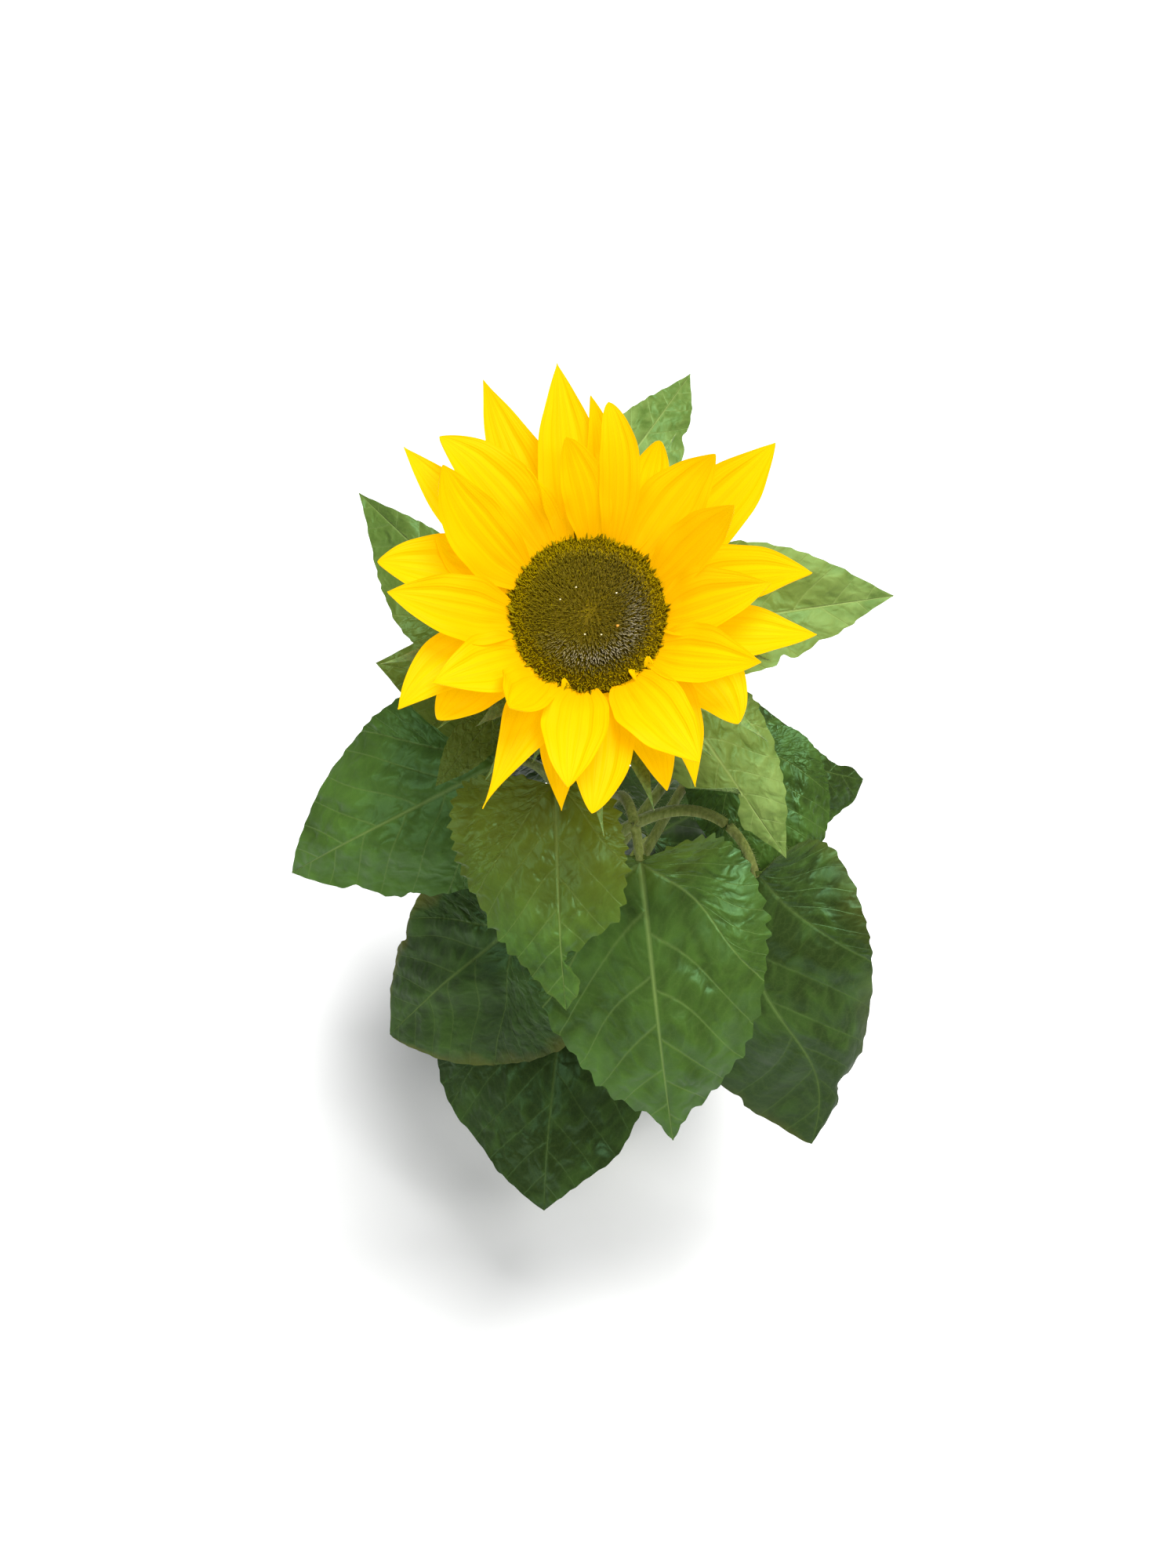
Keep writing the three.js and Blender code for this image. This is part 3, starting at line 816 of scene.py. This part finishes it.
# %% Petal table
PETALS = {
    "inner": {"root_height": 0.6, "lift": 50, "rows": [
        (357, 4, 57, 23, 13, 8, 1.1, 6), (24, 29, 52, 38, 11, 6, 1.0, -10),
        (72, 83, 61, 30, 6.5, 6.5, 0.65, 5), (88, 99, 50, 30, 7.7, 7.7, 0.85, -6),
        (145, 140, 60, 34, 13.5, 7.5, 0.9, 4), (181, 179, 62, 24, 12.5, 9.5, 1.0, -5),
        (213, 209, 55, 19, 10.5, 10.5, 1.1, 8), (238, 237, 44, 30, 7, 11, 0.9, -14),
        (264, 264, 60, 20, 10.5, 10.5, 0.9, 4), (303, 303, 62, 21, 9.5, 13, 0.9, -6),
        (330, 338, 58, 26, 11.5, 8.5, 1.1, 6)]},
    "middle": {"root_height": -1.2, "lift": 34, "rows": [
        (14, 6, 70, 22, 11, 10, 1.0, -8), (50, 49, 61, 25, 12, 10, 1.0, 6),
        (98, 97, 77, 22, 10, 11, 1.1, -5), (124, 131, 70, 22, 10, 11, 0.85, 7),
        (161, 170, 67, 18, 11, 11, 0.85, -6), (199, 209, 68, 12, 9, 11, 1.0, 8),
        (243, 243, 72, 8, 9.5, 9.5, 1.8, -10), (279, 271, 66, 10, 10, 10, 0.8, 5),
        (350, 352, 72, 13, 9, 9.5, 1.0, -6)]},
    "outer": {"root_height": -3, "lift": 18, "rows": [
        (37, 41, 79, 16, 13, 10.5, 1.0, 5), (117, 114.5, 81, 14, 8.5, 11.5, 1.15, -6),
        (141, 138, 79, 10, 9.6, 8, 1.1, 7), (209, 217, 59, 4, 10, 9, 0.8, -5),
        (298, 293, 63, 5, 8, 7, 1.0, 6), (334, 322, 60, 5, 12, 9, 0.8, -6)]},
    "extra": {"root_height": -1.6, "lift": 30, "rows": [
        (80, 89.5, 65, 24, 6, 6, 1.0, 10), (60, 67.5, 58, 14, 8, 6, 0.7, -5),
        (258, 262, 64, 0, 8, 8, 1.2, 6), (316, 301, 65, 0, 8, 7, 1.2, -8),
        (160, 157, 53, 14, 8, 8, 1.0, 5), (107, 117, 43, 27, 3.0, 2.4, 0.7, 70),
        (309, 304, 23, 4.5, 2.0, 1.6, 0.5, 40), (316, 322, 24, 5, 1.8, 1.8, 0.5, -50),
        (257, 250, 23, 4, 2.0, 1.6, 0.5, 40)]},
}
DISC_RADIUS = 26

# %% [markdown]
# Thin petals glow, because light comes through several of them at once. A translucent share alone
# leaves them dull under soft lamps, so they also give off a little light of their own colour: a
# painted glow, which evens out their light and shade. Their surface reflects less to make up for
# it. The colour deepens from lemon at the tip to gold at the root, and a little along the fine ribs
# and streaks: partly their own colour, partly painted shade in the folds.

# %% Petal finish
# painted glow: the petals give off light of their own colour, though they are no lamp
PAINTED_PETAL_GLOW = 0.76
PETAL_DIMMING = 0.65  # share of the reflected colour that the glow takes the place of
PETAL_THROUGH = 0.2


def petal_finish(name, tip, middle, root):
    f = Finish(name)
    x, y, _ = f.field("place")
    tone, shade, _ = f.field("tone")
    streak_place = f.point(x * 10.0, y * 0.6, tone * 7.0)
    streaks = f.cloud(4.0, 3.0, streak_place)
    patches = f.cloud(3.0, 1.0, f.point(x, y, tone * 9.0))
    deep = f.spread(y + (streaks - 0.5) * 0.4 - shade * 0.3, 0.85, 0.10)
    body = f.mix(deep * 0.85, tip, middle)
    body = f.mix(f.spread(y + (streaks - 0.5) * 0.25, 0.30, 0.02) * 0.6, body, root)
    ribs = stroke(from_whole(x * 6.0 + 0.5), 0.16)
    # darker along ribs and streaks: partly the petal's own veins, partly painted shade in the folds
    body = f.mix(ribs * 0.22 + f.spread(streaks, 0.5, 0.8) * 0.3, body, root)
    body = f.mix(f.spread(patches, 0.55, 0.75) * 0.4, body, middle)
    bump = f.bump(0.4, 0.0005, f.cloud(5.0, 2.0, streak_place) * 0.9 - ribs * 0.7)
    # painted glow: the emission carries the petal's colour, and the reflected colour is dimmed for
    # it
    skin = f.skin({
        "Base Color": f.mix(PETAL_DIMMING, body, (0.0, 0.0, 0.0)), "Roughness": 0.55,
        "Normal": bump, "Specular IOR Level": 0.03, "Emission Color": body,
        "Emission Strength": PAINTED_PETAL_GLOW})
    return f.close_thin(skin, PETAL_THROUGH, middle, Normal=bump)


petal_face = petal_finish("petal_face", (0.95, 0.62, 0.0), (0.93, 0.52, 0.0), (0.87, 0.41, 0.0))
petal_back = petal_finish("petal_back", (0.94, 0.60, 0.0), (0.88, 0.52, 0.0), (0.66, 0.42, 0.0))
print("petal finishes", petal_face.name, petal_back.name)

# %% Shapes on the head
head_across = np.array([1.0, 0, 0])
head_over = np.cross(head_axis, head_across)


def on_head(points):
    """From the head's own frame, whose third axis is the head's, to the plant's."""
    flat = points[..., :1] * head_across + points[..., 1:2] * head_over
    return HEAD + flat + points[..., 2:] * head_axis


def middle_line(root, tip, lift, u):
    """A curve between two places on the head, and its span. A place is an angle, a radius and a
    height."""
    start, end = (heading(angle, 0) * radius + UP * z for angle, radius, z in (root, tip))
    span = np.linalg.norm(end - start)
    return bezier([start, start + heading(root[0], lift) * span / 2, end], u), span


def along_line(line, x, z, turn=0.0):
    """Points at x across the line and z over it."""
    over, side = strip_frame(tangents(line), turn)
    return on_head(line[:, None] + side[:, None] * x[..., None] + over[:, None] * z[..., None])


# %% Petal mesh
def petal_width(t, point):
    return (0.5 + 2.6 * t) * (1 - t) ** point


def petal_piece(name, petal, root_height, lift, nodes):
    root_angle, tip_angle, reach, height, ccw_half, cw_half, point, twist = petal
    u = np.linspace(0, 1, 65) ** 0.9
    s = np.linspace(-1, 1, 33)[None, :]
    root = (root_angle, DISC_RADIUS - 1.0, root_height)
    line, span = middle_line(root, (tip_angle, reach, height), lift, u)
    turn = np.radians(twist * (u - 0.3) * 1.4)[:, None]
    phase, curl, cup, shade = draw.uniform(0, 1, 4)
    shape = petal_width(u, point) / petal_width(np.linspace(0, 1, 100), point).max()
    half = np.maximum(np.where(s > 0, cw_half, ccw_half) * shape[:, None], 0.12)
    u = u[:, None]
    body = np.minimum(1, 6 * u) * np.minimum(1, 5 * (1 - u))
    edge = np.abs(s)
    pleats = -np.exp(-(((edge - 0.38) / 0.10) ** 2)) - 0.6 * np.exp(-((s / 0.06) ** 2))
    fine = 0.14 * np.cos(2 * np.pi * 6 * s)
    z = half * (0.16 + 0.12 * cup) * edge**1.7 + (pleats + fine) * body * half / 11
    z = z + span * 0.10 * (curl - 0.35) * np.maximum(u - 0.7, 0) ** 2 * 11
    z = z + 0.07 * half * edge**3 * np.sin(2 * np.pi * (2.1 * u + phase) + 2 * s)
    x = s * half * (1 + 0.02 * np.sin(2 * np.pi * (3.1 * u + phase)))
    x = x + 0.035 * span * (curl - 0.5) * np.maximum(u - 0.75, 0) * 4
    place = stacked(s * 0.5, u, edge)
    tone = np.broadcast_to(np.array([draw.random(), shade, 0]), place.shape)
    sheet_piece(
        name, along_line(line, x, z, turn), np.full(x.shape, THIN), [petal_face, petal_back],
        {"place": place, "tone": tone}, nodes)


for whorl, petals in PETALS.items():
    for k, petal in enumerate(petals["rows"]):
        nodes = [] if whorl == "extra" else [f"petal_{whorl}_{k + 1}"]
        name = f"petal_skin_{whorl}_{k + 1}"
        petal_piece(name, petal, petals["root_height"], petals["lift"], nodes)
print("petals", sum(len(p["rows"]) for p in PETALS.values()))

# %% [markdown]
# ## Calyx and bracts
# Behind the petals sits a hairy green cup, with two rings of pointed bracts. Their tips show
# between the petals from the front, and they are most of what is seen from behind. The cup is
# turned like a bowl, and the bracts are small sheets bent in the same way as the petals.

# %% Calyx
CALYX_RADIUS, CALYX_RIM = 31, 4.6
CUP_FOOT = NECK_TOP_RADIUS * 0.9


def calyx_piece():
    t = np.linspace(0, 1, 16)
    radius = CUP_FOOT + (CALYX_RADIUS - 1.5 - CUP_FOOT) * np.sin(np.pi / 2 * t)
    height = -CALYX_DEPTH + (CALYX_DEPTH - CALYX_RIM) * (1 - np.cos(np.pi / 2 * t))
    radius = np.concatenate([radius, [DISC_RADIUS + 0.5, DISC_RADIUS - 3]])
    height = np.concatenate([height, [-2.2, -1.5]])
    turn = full_turn(96)[None]
    ribbed = radius[:, None] * (1 + 0.012 * np.cos(24 * turn))
    grid = on_head(ring_at(ribbed, turn, height[:, None]))
    tube_piece("calyx_cup", grid, bract_green, ["calyx"])


bract_green = stem_finish("bract_green", (0.14, 0.24, 0.06), (0.07, 0.14, 0.03))
calyx_piece()
print("calyx", 2 * CALYX_RADIUS, "mm across")

# %% Bracts
BRACTS = {  # angle and reach of each bract of the front ring
    15: 60, 40: 62, 69: 69, 92: 60, 118: 62, 142: 62, 165: 62, 191: 68, 214: 60, 238: 62,
    271: 71, 290: 66, 310: 60, 328: 70, 350: 60}
BRACT_WIDTH = 12


def bract_piece(name, angle, reach, drop):
    u = np.linspace(0, 1, 25)
    s = np.linspace(-1, 1, 9)[None, :]
    tip = (angle + 4 * draw.uniform(-1, 1), reach, drop)
    line, _ = middle_line((angle, CALYX_RADIUS - 5, -9), tip, 5, u)
    half = np.maximum(BRACT_WIDTH / 2 * (0.75 + 1.2 * u) * (1 - u) ** 1.5 / 0.78, 0.1)[:, None]
    u = u[:, None]
    z = 0.25 * half * np.abs(s) ** 1.5 + 0.2 * np.cos(3 * np.pi * s) * half / 6
    depth = 0.5 + 0.5 * (1 - u) * (1 - np.abs(s))
    place = stacked(s * 0.15, u, np.abs(s))
    grid = along_line(line, s * half, z)
    sheet_piece(name, grid, depth, [bract_green, bract_green], {"place": place})


for k, (angle, reach) in enumerate(BRACTS.items()):
    bract_piece(f"bract_front_{k + 1}", angle, reach, -4)
    bract_piece(f"bract_back_{k + 1}", angle + 12, 48 + 4 * draw.uniform(-1, 1), -14)
print("bracts", 2 * len(BRACTS))

# %% [markdown]
# ## The seed disc
# The disc is packed with florets on a spiral: each one turns by the golden angle from the last,
# which spaces them evenly without any rows. Round the rim the florets are open and fuzzy, and
# dark chaffy teeth lie over the roots of the petals. The middle is sunken and set with stiff
# bristles that fan outwards. Thousands of separate objects would be slow, so all florets of a
# kind are spikes in one joined mesh.

# %% Floret places
FLORETS = 1400
GOLDEN_ANGLE = math.pi * (3 - math.sqrt(5))
DOME, DIMPLE = 5.0, 1.4
number = np.arange(FLORETS) + 0.5
floret_radius = DISC_RADIUS * np.sqrt(number / FLORETS)
floret_turn = number * GOLDEN_ANGLE


def dome_height(radius):
    share = np.clip(radius / DISC_RADIUS, 0, 1)
    return DOME * (1 - share**3) ** 0.8 - DIMPLE * np.exp(-((share / 0.45) ** 2))


# %% Disc finish
def floret_finish(name, low, high, pale=(0.42, 0.37, 0.24), left_side_glow=(0.26, 0.20, 0.0)):
    f = Finish(name)
    lit, level, left = f.field("place")
    body = f.mix(f.spread(level, 0.2, 1.0), low, high)
    body = f.mix(f.spread(f.cloud(700.0, 1.0), 0.45, 0.7) * 0.5, body, [c * 0.4 for c in low])
    # painted glow: spikes on the left of the flower are mixed toward a lighter olive yellow
    body = f.mix(left * 0.5, body, left_side_glow)
    # painted highlight: the lit share of a spike is mixed toward a pale colour
    body = f.mix(lit, body, pale)
    return f.close(f.skin({"Base Color": body, "Roughness": 0.6, "Specular IOR Level": 0.03}))


rim_brown = floret_finish("rim_floret", (0.14, 0.095, 0.0), (0.42, 0.30, 0.0))
bud_brown = floret_finish("bud_floret", (0.09, 0.065, 0.0), (0.24, 0.18, 0.004))
tooth_brown = floret_finish("rim_tooth", (0.11, 0.075, 0.0), (0.15, 0.105, 0.0))
bristle_grey = floret_finish(
    "bristle", (0.09, 0.07, 0.006), (0.17, 0.14, 0.02), pale=(0.36, 0.32, 0.24))
disc_bed = floret_finish("disc_bed", (0.08, 0.055, 0.0), (0.09, 0.065, 0.0))
speck_pale = floret_finish("speck", (0.6, 0.56, 0.35), (0.9, 0.85, 0.6))
speck_orange = floret_finish("speck_orange", (0.5, 0.22, 0.03), (0.6, 0.3, 0.05))
print("disc finishes, from", rim_brown.name, "to", speck_orange.name)


# %% Spikes
SPIKE_LEVELS, SPIKE_WIDTHS = (0.0, 0.35, 0.7), (0.8, 1.0, 0.6)
ASKEW = np.array([0.31, 0.17, 0.94])  # a direction that no spike follows


def spike_piece(name, material, roots, aims, lengths, radii, corners, bend=0.0, lit=0.0, disc=True):
    """Many small closed spikes in one mesh. Their field holds the share with a painted highlight,
    the level from root to tip, and how far to the left of the flower they stand, where a glow is
    painted."""
    count, rings = len(roots), len(SPIKE_LEVELS)
    lengths, radii = (np.broadcast_to(values, count) for values in (lengths, radii))
    ahead = unit(aims)
    across = square_to(ahead, ASKEW)
    over = np.cross(ahead, across)
    turn = full_turn(corners)[None, :, None]
    ring = across[:, None] * np.cos(turn) + over[:, None] * np.sin(turn)
    layers = []
    for level, wide in zip(SPIKE_LEVELS, SPIKE_WIDTHS):
        centre = roots + ahead * (lengths * level)[:, None] + bend * level**2
        layers.append(centre[:, None] + ring * (radii * wide)[:, None, None])
    apex = roots + ahead * lengths[:, None] + bend
    points = np.concatenate([*layers, apex[:, None]], axis=1).reshape(-1, 3)
    index = numbered(rings, corners)
    walls = grid_faces(np.concatenate([index, index[:, :1]], 1))
    tip = stacked(index[-1], np.roll(index[-1], -1), rings * corners)
    floor = stacked(0, np.arange(corners - 1, 1, -1), np.arange(corners - 2, 0, -1))
    start = (np.arange(count) * (rings * corners + 1))[:, None, None]
    faces = [(part[None] + start).reshape(-1, part.shape[1]) for part in (walls, tip, floor)]
    level = np.concatenate([np.repeat(SPIKE_LEVELS, corners), [1.0]])
    # share of the painted glow, growing to the left of the flower
    left = np.clip(0.4 - roots[:, 0] / DISC_RADIUS, 0, 1)
    field = stacked(np.reshape(lit, (-1, 1)) * level, level, left[:, None]).reshape(-1, 3)
    points, slot = (on_head(points), "disc") if disc else (points, "stem")
    new_piece(name, points, faces, [material], fields={"place": field})
    print(name, count)


# %% Florets
def disc_places(low, high, each=1):
    share = floret_radius / DISC_RADIUS
    chosen = (share >= low) & (share < high)
    radius, turn = (np.repeat(a[chosen], each) for a in (floret_radius, floret_turn))
    return radius, turn, ring_at(radius, turn, dome_height(radius))


def floret_piece(name, low, high, each, length, thickness, lean, loose, material):
    radius, turn, roots = disc_places(low, high, each)
    aims = ring_at(lean * radius / DISC_RADIUS, turn, 1.0)  # up, leaning outwards
    aims = aims + draw.normal(0, loose, aims.shape) * [1, 1, 0.3]
    lengths = length * draw.uniform(0.7, 1.3, len(roots))
    spike_piece(name, material, roots - UP * 0.4, aims, lengths, thickness, 4)


def disc_bed_piece():
    radius = DISC_RADIUS * np.sin(np.linspace(0, np.pi / 2, 24))[1:][::-1]
    radius = np.concatenate([[DISC_RADIUS - 2, DISC_RADIUS], radius[1:], [0.3]])
    height = np.concatenate([[-3], dome_height(radius[1:])])
    grid = on_head(ring_at(radius[:, None], full_turn(64)[None], height[:, None]))
    tube_piece("disc_bed", grid, disc_bed, ["seed_disc"], ["place"])


disc_bed_piece()
floret_piece("florets_rim", 0.70, 1.0, 4, 2.5, 0.17, 0.5, 0.45, rim_brown)
floret_piece("florets_middle", 0.45, 0.72, 3, 1.9, 0.20, 0.3, 0.3, bud_brown)
floret_piece("florets_centre", 0.0, 0.47, 2, 1.5, 0.24, 0.2, 0.3, bud_brown)


# %% Teeth, bristles and specks
def tooth_piece(count):
    turn = full_turn(count) + draw.normal(0, 0.04, count)
    radius = DISC_RADIUS - draw.uniform(1.0, 3.0, count)
    roots = ring_at(radius, turn, draw.uniform(0.2, 1.6, count))
    aims = ring_at(1.0, turn + draw.normal(0, 0.3, count), 1.0)
    lengths = draw.uniform(1.6, 4.0, count)
    spike_piece("rim_teeth", tooth_brown, roots, aims, lengths, draw.uniform(0.4, 0.9, count), 3)


def bristle_piece():
    radius, turn, roots = disc_places(0.08, 0.76, 3)
    count = len(radius)
    roots = roots + draw.normal(0, 0.35, (count, 3)) * [1, 1, 0.1]
    aims = ring_at(0.9, turn, 1.0) + draw.normal(0, 0.12, (count, 3))
    ring = np.exp(-(((radius / DISC_RADIUS - 0.56) / 0.12) ** 2))
    # painted highlight: bristles in a ring on one side of the disc are marked as lit
    lit = np.clip(0.2 + np.cos(turn + 1.0), 0, 1) * ring * draw.uniform(0.4, 1, count)
    bend = UP * draw.uniform(0.1, 0.6, (count, 1))
    lengths = draw.uniform(1.8, 2.8, count)
    radii = 0.13 + 0.2 * lit
    roots = roots + UP * 0.6
    spike_piece("disc_bristles", bristle_grey, roots, aims, lengths, radii, 3, bend, lit)


def speck_piece(name, places, size, material):
    """Crumbs of pollen and a stray anther that lie on the florets."""
    roots = np.array([(x, y, dome_height(math.hypot(x, y)) + 1.9) for x, y in places])
    aims = np.broadcast_to(np.array([0.8, 0.3, 0.4]), roots.shape)
    spike_piece(name, material, roots, aims, size * 2.2, size, 6)


tooth_piece(120)
bristle_piece()
CRUMBS = [(8.8, 5.6), (-1.2, -7.9), (4.0, -8.0), (-9.0, 3.5), (-4.0, 7.5)]
speck_piece("specks_pale", CRUMBS, 0.3, speck_pale)
speck_piece("specks_orange", [(9.0, -5.2)], 0.5, speck_orange)

# %% [markdown]
# ## Hairs
# Sunflower stems feel rough: short pale hairs stand out all over them. Each hair is a thin spike,
# and all of them are one joined mesh, which keeps the scene light. A particle system would grow
# them as well, but its hairs would be no part of the model's meshes.

# %% Hairs
HAIRS_PER_MM = 4
hair_pale = floret_finish("hair", (0.22, 0.26, 0.09), (0.36, 0.39, 0.18), left_side_glow=(0.22, 0.26, 0.09))


def hair_piece():
    roots, aims = [], []
    for line, radius in tubes:
        reach = np.concatenate([[0], np.cumsum(np.linalg.norm(np.diff(line, axis=0), axis=1))])
        count = int(reach[-1] * HAIRS_PER_MM)
        at = draw.uniform(0.02, 0.97, count) * reach[-1]
        centre, ahead = (
            np.stack([np.interp(at, reach, values[:, k]) for k in range(3)], -1)
            for values in (line, tangents(line)))
        out = square_to(ahead, draw.normal(0, 1, (count, 3)))
        roots.append(centre + out * (np.interp(at, reach, radius) * 0.93)[:, None])
        aims.append(out + ahead * 0.35)
    roots, aims = np.concatenate(roots), np.concatenate(aims)
    above = roots[:, 2] > 2
    lengths = draw.uniform(0.9, 1.9, above.sum())
    spike_piece("hairs", hair_pale, roots[above], aims[above], lengths, 0.045, 3, disc=False)


hair_piece()

# %% [markdown]
# ## Floor and light
# A pale floor and large soft lamps: a broad one overhead, like an open sky, one near the eye that
# lies in the gloss of the leaves, and a weak one on the left that opens the shadows.

# %% Stage
FLOOR_WIDTH = 6.0  # metres


def floor_piece():
    bpy.ops.mesh.primitive_plane_add(size=FLOOR_WIDTH)
    made = bpy.context.object
    made.name = "floor"
    f = Finish("floor_pale")
    pale = f.close(f.skin({"Base Color": (0.86, 0.86, 0.85, 1), "Roughness": 0.9}))
    made.data.materials.append(pale)


def lamp(name, place, aim, size, power):
    data = bpy.data.lights.new(name, "AREA")
    data.size, data.energy, data.shape = size, power, "DISK"
    made = bpy.data.objects.new(name, data)
    made.location = place
    made.rotation_euler = (Vector(aim) - Vector(place)).to_track_quat("-Z", "Y").to_euler()
    bpy.context.collection.objects.link(made)


floor_piece()
lamp("sky", (0.35, 0.0, 2.0), (0, 0, 0.2), 1.0, 58)
lamp("key", (0.45, -0.85, 1.6), (0, 0, 0.3), 0.5, 14)
lamp("left", (-1.2, -1.0, 1.2), (0, 0, 0.25), 1.0, 9)
world = bpy.data.worlds.new("world")
world.use_nodes = True
world.node_tree.nodes["Background"].inputs[0].default_value = (0.93, 0.96, 1.0, 1)
world.node_tree.nodes["Background"].inputs[1].default_value = 0.28
bpy.context.scene.world = world
print("lamps", [light.name for light in bpy.data.lights])
